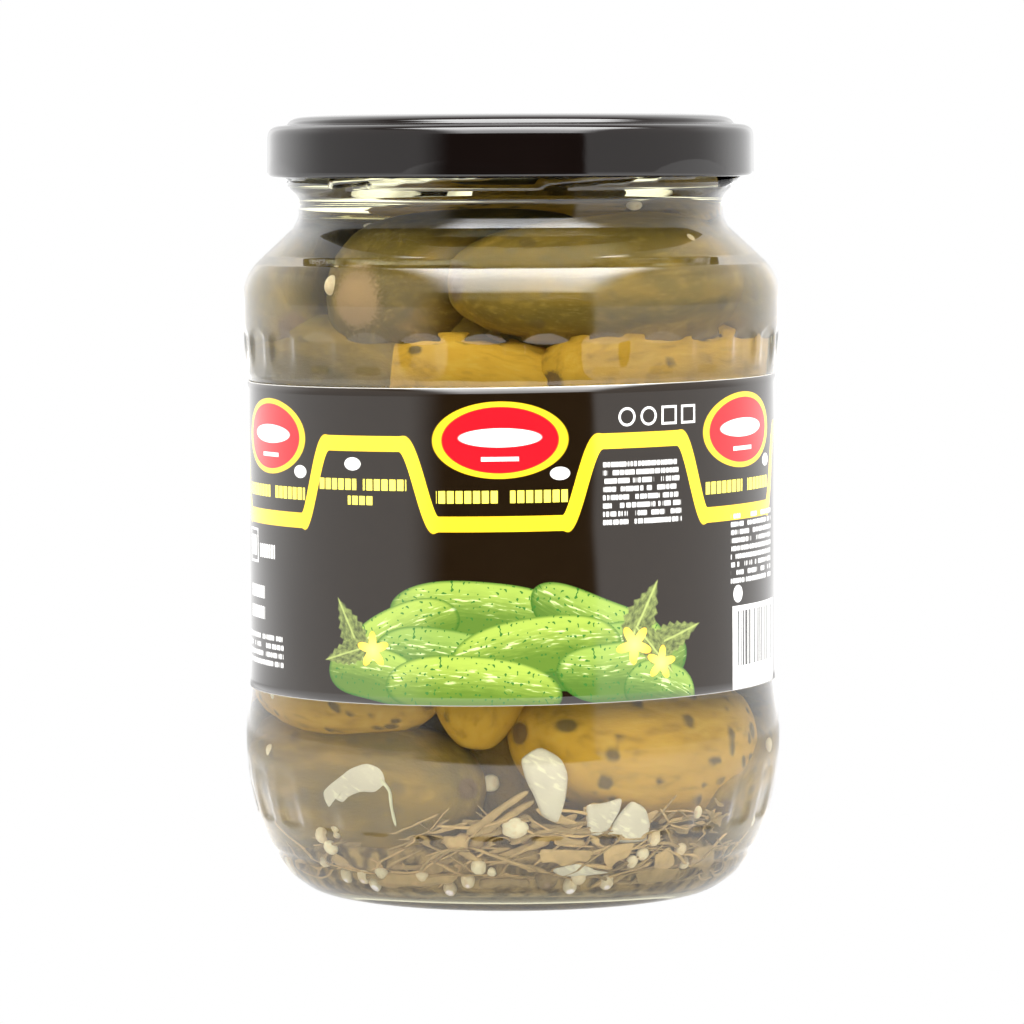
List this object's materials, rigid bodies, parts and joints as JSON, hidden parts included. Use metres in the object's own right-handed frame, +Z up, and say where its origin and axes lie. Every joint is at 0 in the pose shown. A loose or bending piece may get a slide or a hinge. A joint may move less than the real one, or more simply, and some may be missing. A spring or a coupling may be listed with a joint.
{
  "type": "pickle jar",
  "caption": "Shut glass jar of pickled gherkins with a black twist-off lid, fluted bands above and below a wrap-round brown label.",
  "frame": {"origin": "centre of the jar's foot, on the plane it stands on", "axes": "+Z up along the jar's axis; the middle of the label's front faces -Y"},
  "size_m": [0.0948, 0.0948, 0.1371],
  "materials": {
    "clear_glass": "clear, smooth",
    "black_lid": "gloss black lacquer on tinplate",
    "brown_label": "printed paper, varnished",
    "olive_gherkin": "wet, waxy gherkin skin"
  },
  "bodies": {
    "root": {"glass_jar": "clear_glass", "lid": "black_lid", "label": "brown_label", "pickle_heap": "olive_gherkin"}
  },
  "joints": []
}
